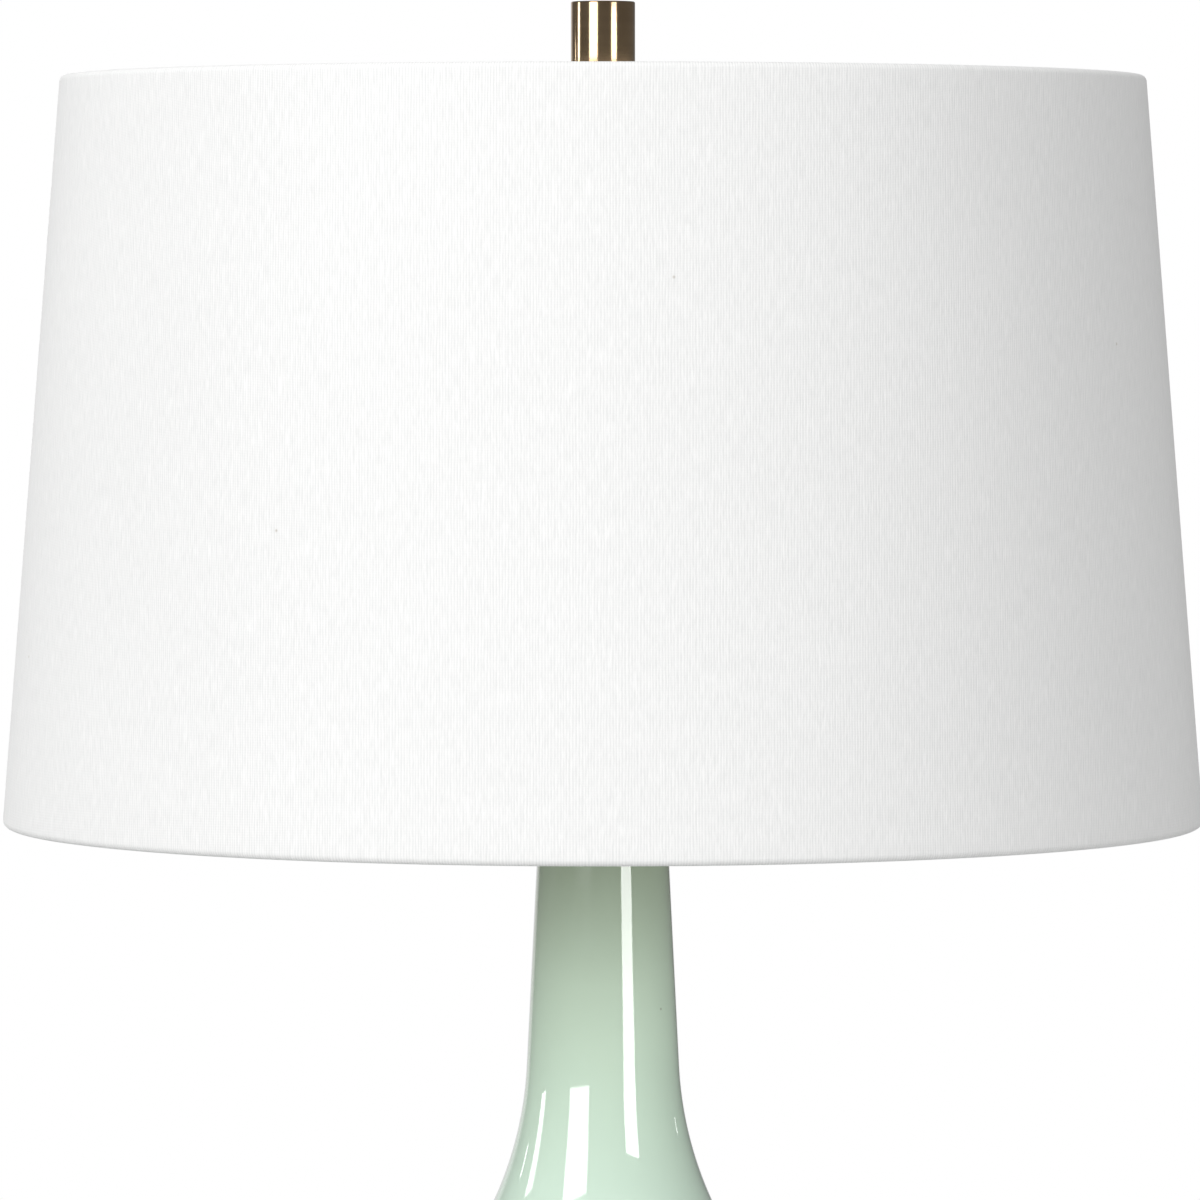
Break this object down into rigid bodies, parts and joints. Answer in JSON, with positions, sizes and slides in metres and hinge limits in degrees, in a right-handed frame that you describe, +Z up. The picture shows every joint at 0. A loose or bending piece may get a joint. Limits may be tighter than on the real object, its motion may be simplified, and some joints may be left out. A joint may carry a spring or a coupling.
{
  "type": "table lamp",
  "caption": "Tall table lamp with a glazed bottle body on a turned metal foot, a white fabric drum shade on a harp, a cylindrical finial and a turn-knob socket.",
  "frame": {"origin": "centre of the bounding box at table height, under the rod's axis", "axes": "+Z up the rod's axis, which is also the longest extent; +Y out of the cord inlet at the back of the foot; the harp's bow lies in the XZ plane and the turn knob points along -Y"},
  "size_m": [0.4826, 0.4826, 0.7157],
  "materials": {
    "green_felt": "matte",
    "antique_brass": "satin",
    "black_nylon": "satin",
    "cork": "matte",
    "zinc_steel": "satin",
    "brass_hardware": "satin",
    "celadon_glaze": "gloss",
    "black_rubber": "matte",
    "bright_brass": "gloss",
    "insulating_card": "matte",
    "phenolic": "satin",
    "socket_aluminium": "satin",
    "white_enamel": "gloss",
    "white_styrene": "satin",
    "white_linen": "matte",
    "black_phenolic": "gloss",
    "black_glass": "gloss",
    "nickel_shell": "satin",
    "white_plastic": "satin",
    "frosted_globe": "satin"
  },
  "bodies": {
    "base": {"felt_ring": "green_felt", "foot": "antique_brass", "cord_bushing": "black_nylon", "foot_gasket": "cork", "bottom_washer": "zinc_steel", "lock_washer": "zinc_steel", "bottom_nut": "brass_hardware", "ceramic_body": "celadon_glaze", "neck_gasket": "black_rubber", "neck_cap": "antique_brass", "threaded_rod": "zinc_steel", "neck_nut": "brass_hardware", "harp_saddle": "brass_hardware", "socket_cap": "bright_brass", "socket_shell": "bright_brass", "socket_insulator": "insulating_card", "socket_core": "phenolic", "screw_shell": "socket_aluminium", "centre_contact": "brass_hardware", "terminal_screws": "brass_hardware"},
    "harp": {"harp_wire_right": "brass_hardware", "harp_wire_left": "brass_hardware", "harp_top_block": "brass_hardware"},
    "sleeve_right": {"harp_sleeve_right": "bright_brass"},
    "sleeve_left": {"harp_sleeve_left": "bright_brass"},
    "stud": {"harp_stud": "brass_hardware"},
    "shade": {"spider_hub": "bright_brass", "spider_arm_back": "white_enamel", "spider_arm_left": "white_enamel", "spider_arm_right": "white_enamel", "shade_top_ring": "white_enamel", "shade_bottom_ring": "white_enamel", "shade_liner": "white_styrene", "shade_fabric": "white_linen"},
    "finial": {"finial": "antique_brass"},
    "switch": {"switch_knob": "black_phenolic", "switch_shaft": "zinc_steel"},
    "bulb": {"bulb_tip": "zinc_steel", "bulb_insulator": "black_glass", "bulb_screw_base": "nickel_shell", "bulb_housing": "white_plastic", "bulb_globe": "frosted_globe"}
  },
  "joints": [
    {"name": "harp_lift", "type": "slide", "parent": "base", "child": "harp", "axis": [0, 0, 1], "range_m": [0, 0.03]},
    {"name": "sleeve_right_lift", "type": "slide", "parent": "harp", "child": "sleeve_right", "axis": [0, 0, 1], "range_m": [0, 0.0135]},
    {"name": "sleeve_left_lift", "type": "slide", "parent": "harp", "child": "sleeve_left", "axis": [0, 0, 1], "range_m": [0, 0.0135]},
    {"name": "stud_swivel", "type": "hinge", "parent": "harp", "child": "stud", "pos_m": [0, 0, 0.67], "axis": [0, 0, 1], "continuous": true},
    {"name": "shade_lift", "type": "slide", "parent": "stud", "child": "shade", "axis": [0, 0, 1], "range_m": [0, 0.03]},
    {"name": "finial_turn", "type": "hinge", "parent": "shade", "child": "finial", "pos_m": [0, 0, 0.6736], "axis": [0, 0, 1], "continuous": true},
    {"name": "switch_turn", "type": "hinge", "parent": "base", "child": "switch", "pos_m": [0, -0.022, 0.4481], "axis": [0, -1, 0], "continuous": true},
    {"name": "bulb_turn", "type": "hinge", "parent": "base", "child": "bulb", "pos_m": [0, 0, 0.456], "axis": [0, 0, 1], "continuous": true}
  ]
}
